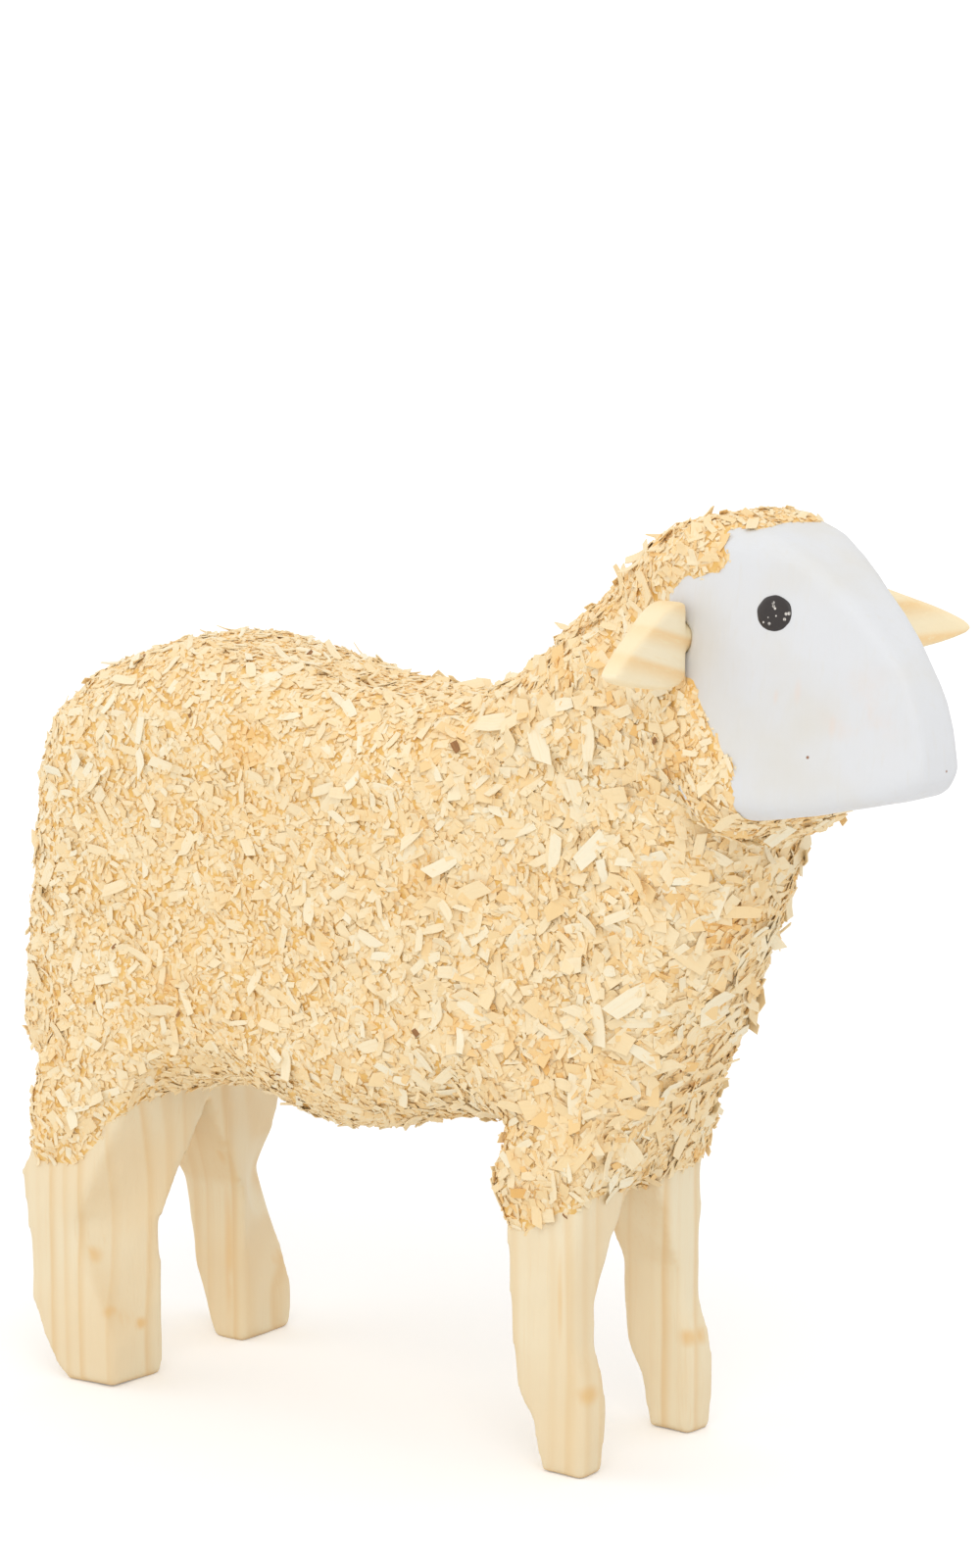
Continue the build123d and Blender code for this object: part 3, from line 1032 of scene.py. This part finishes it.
def shavingMesh(name, places, normals, depth, look, draw):
    count = len(places)
    forward = eased((alongBody(places) - look["chestFrom"]) / look["chestRun"])
    onHead = overJoint(places) > 0
    sizes = look["rumpSize"] + (look["chestSize"] - look["rumpSize"]) * forward
    sizes = sizes * np.where(onHead, look["headSize"], 1.0)
    sizes = sizes * fadedIn(look["hemSize"], eased(depth / look["hemSizeRun"]))
    length, width, gauge = chipSizes(sizes, look, draw)
    lift = draw.beta(*look["liftDraw"], count) * look["liftMost"]
    lift = np.minimum(lift, np.arcsin(np.clip(look["riseMost"] / length, 0, 1)))
    lift = lift * fadedIn(look["hemLift"], eased(depth / look["hemLiftRun"]))
    lift = lift * fadedIn(look["rumpLift"], forward)
    lift = lift * np.where(onHead, look["headLift"], 1.0)
    curl = draw.normal(look["curlMiddle"], look["curl"], count)
    roll = draw.normal(0, look["roll"], count)
    ahead, across, over = chipAxes(normals, roll, draw)
    skews = draw.normal(0, look["skew"], (count, 2))
    tapers = draw.uniform(look["taper"], 1.0, (count, 2))
    pattern = draw.uniform(0, 10, count)    # so that no two shavings have the same fibres
    spot = places - ahead * (length * look["rootShare"])[:, None] - normals * look["sunk"]
    steps = look["sections"] - 1
    rows = []
    fibres = []
    for step in range(look["sections"]):
        share = step / steps
        if step:
            angle = (lift + curl * (share - 0.5 / steps))[:, None]
            spot = spot + (ahead * np.cos(angle) + over * np.sin(angle)) * (length / steps)[:, None]
        angle = (lift + curl * share)[:, None]
        onward = ahead * np.cos(angle) + over * np.sin(angle)
        top = over * np.cos(angle) - ahead * np.sin(angle)
        isEnd = step in (0, steps)
        taper = tapers[:, 0 if step == 0 else 1] if isEnd else np.ones(count)
        skew = skews[:, 0 if step == 0 else 1] if isEnd else np.zeros(count)
        half = across * (width / 2 * taper)[:, None]
        shift = onward * (width * skew)[:, None]
        thick = top * (gauge / 2)[:, None]
        for sign, high in ((-1, 1), (1, 1), (1, -1), (-1, -1)):
            rows.append(spot + sign * half + sign * shift + high * thick)
            fibres.append(np.stack([share * length, sign * width / 2, pattern], axis=1))
    verts = np.stack(rows, axis=1).reshape(-1, 3)
    mesh = bpy.data.meshes.new(name)
    mesh.from_pydata(verts.tolist(), [], chipFaces(count, look["sections"]).tolist())
    tone = np.repeat(chipTones(places, forward, look, draw), len(rows))
    mesh.attributes.new("tone", "FLOAT", "POINT").data.foreach_set("value", tone)
    fibre = np.stack(fibres, axis=1).reshape(-1)
    mesh.attributes.new("fibre", "FLOAT_VECTOR", "POINT").data.foreach_set("vector", fibre)
    return mesh


def addPart(name, mesh, finish):
    part = newObject(name, mesh)
    setFinish(part, finish)
    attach(part, "root")


def addShavings(look, finish):
    draw = np.random.default_rng(look["seed"])
    places, normals = scatter(bed, look, draw)
    depth = np.array([depthAt(place) for place in places])
    clear = np.array([earTree.find_nearest(Vector(place))[3] for place in places])
    coated = (depth > -look["edgeSlack"]) & (clear > look["earRoom"])
    places, normals, depth = places[coated], normals[coated], depth[coated]
    above = overJoint(places) > 0
    along = alongBody(places)
    groups = {
        "rump": ~above & (along < look["rumpTo"]),
        "flank": ~above & (along >= look["rumpTo"]) & (along < look["flankTo"]),
        "chest": ~above & (along >= look["flankTo"]),
        "head": above,
    }
    for area, chosen in groups.items():
        name = area + look["name"] + "Shavings"
        mesh = shavingMesh(name, places[chosen], normals[chosen], depth[chosen], look, draw)
        addPart(name, mesh, finish)
        print(name, int(chosen.sum()), "shavings,", len(mesh.polygons), "faces")


chipPaint = chipFinish(chipLook)
addShavings(packedLook, chipPaint)
addShavings(looseLook, chipPaint)
addShavings(crumbLook, chipPaint)


# brown flecks of bark that show on the near side

barkLook = {
    "pixels": [    # across, down and length in mm
        (118, 966, 0.9), (159, 985, 0.6), (184, 1034, 0.9), (286, 1094, 0.6), (307, 1120, 0.5),
        (425, 1053, 1.2), (466, 764, 1.6), (583, 892, 0.4), (670, 756, 1.1), (578, 1240, 0.8),
        (540, 1150, 0.4),
    ],
    "proud": 0.42 * mm,
    "depth": 5 * mm,    # as if this far inside the coat's edge
    "seed": 7,
}


def addBark(look, chips, finish):
    draw = np.random.default_rng(look["seed"])
    places = []
    normals = []
    sizes = []
    for across, down, size in look["pixels"]:
        start, along = rayThrough((across, down))
        hit, facing = bedTree.ray_cast(start, along)[:2]
        if hit is not None:
            places.append(hit + facing * look["proud"])
            normals.append(facing)
            sizes.append(size)
    deep = np.full(len(places), look["depth"])
    mesh = shavingMesh("barkFlecks", np.array(places), np.array(normals), deep, chips, draw)
    corners = pointsOf(mesh).reshape(len(places), -1, 3)
    centres = corners.mean(axis=1, keepdims=True)
    spans = np.ptp(corners, axis=1).max(axis=1)[:, None]
    corners = centres + (corners - centres) * (np.array(sizes)[:, None] * mm / spans)[:, :, None]
    mesh.vertices.foreach_set("co", corners.reshape(-1))
    tone = np.full(len(mesh.vertices), chips["barkTone"])
    mesh.attributes["tone"].data.foreach_set("value", tone)
    addPart("barkFlecks", mesh, finish)


addBark(barkLook, packedLook, chipPaint)
print("bark flecks added")


# floor, white surroundings and soft lamps

stageLook = {
    "floorHalf": 3.0,
    "floorDrop": 0.02 * mm,
    "floorRoughness": 0.9,
    "floorColour": screen(245, 245, 245),
    "white": (1.0, 1.0, 1.0, 1.0),
    "nearGlow": 0.16,
    "farGlow": 0.42,
    "glowReach": (0.12, 1.1),
    "worldStrength": 0.78,
    "lamps": [    # name, place, size and power
        ("keyLamp", (0.55, -0.75, 0.85), 0.8, 3.6),
        ("fillLamp", (-0.9, -0.5, 0.5), 0.9, 1.8),
        ("topLamp", (0.0, 0.3, 1.1), 0.9, 1.5),
    ],
    "lampAim": (0, 0, 60 * mm),
}


def seenDirectly(tree):    # 1 for rays from the camera, from reflections and through glass
    path = put(tree, "LightPath", {})
    seen = calc(tree, "MAXIMUM", path.outputs["Is Camera Ray"], path.outputs["Is Glossy Ray"])
    return calc(tree, "MAXIMUM", seen, path.outputs["Is Transmission Ray"])


def addFloor(look):
    half = look["floorHalf"]
    level = -look["floorDrop"]
    corners = [(-half, -half, level), (half, -half, level), (half, half, level), (-half, half, level)]
    mesh = bpy.data.meshes.new("floor")
    mesh.from_pydata(corners, [], [(0, 1, 2, 3)])
    floor = newObject("floor", mesh)
    finish, tree, shader = newFinish("floorFinish", look["floorRoughness"])
    shader.inputs["Base Color"].default_value = look["floorColour"]
    shader.inputs["Emission Color"].default_value = look["white"]
    away = put(tree, "VectorMath", {0: placeIn(tree)}, operation="LENGTH").outputs["Value"]
    more = calc(tree, "MULTIPLY", limits(tree, away, *look["glowReach"]), look["farGlow"] - look["nearGlow"])
    glow = calc(tree, "MULTIPLY", seenDirectly(tree), calc(tree, "ADD", more, look["nearGlow"]))
    tree.links.new(glow, shader.inputs["Emission Strength"])
    setFinish(floor, finish)


def addSurroundings(look):
    world = bpy.data.worlds.new("surroundings")
    world.use_nodes = True
    bpy.context.scene.world = world
    tree = world.node_tree
    backdrop = tree.nodes["Background"]
    backdrop.inputs["Color"].default_value = look["white"]
    spare = calc(tree, "MULTIPLY", seenDirectly(tree), 1 - look["worldStrength"])
    tree.links.new(calc(tree, "ADD", spare, look["worldStrength"]), backdrop.inputs["Strength"])


def addLamps(look):
    for name, place, size, power in look["lamps"]:
        data = bpy.data.lights.new(name, "AREA")
        data.size = size
        data.energy = power
        lamp = newObject(name, data)
        lamp.location = place
        aim = Vector(look["lampAim"]) - Vector(place)
        lamp.rotation_mode = "QUATERNION"
        lamp.rotation_quaternion = aim.to_track_quat("-Z", "Y")


addFloor(stageLook)
addSurroundings(stageLook)
addLamps(stageLook)
bpy.context.scene.view_settings.view_transform = "Standard"
print("stage lit")
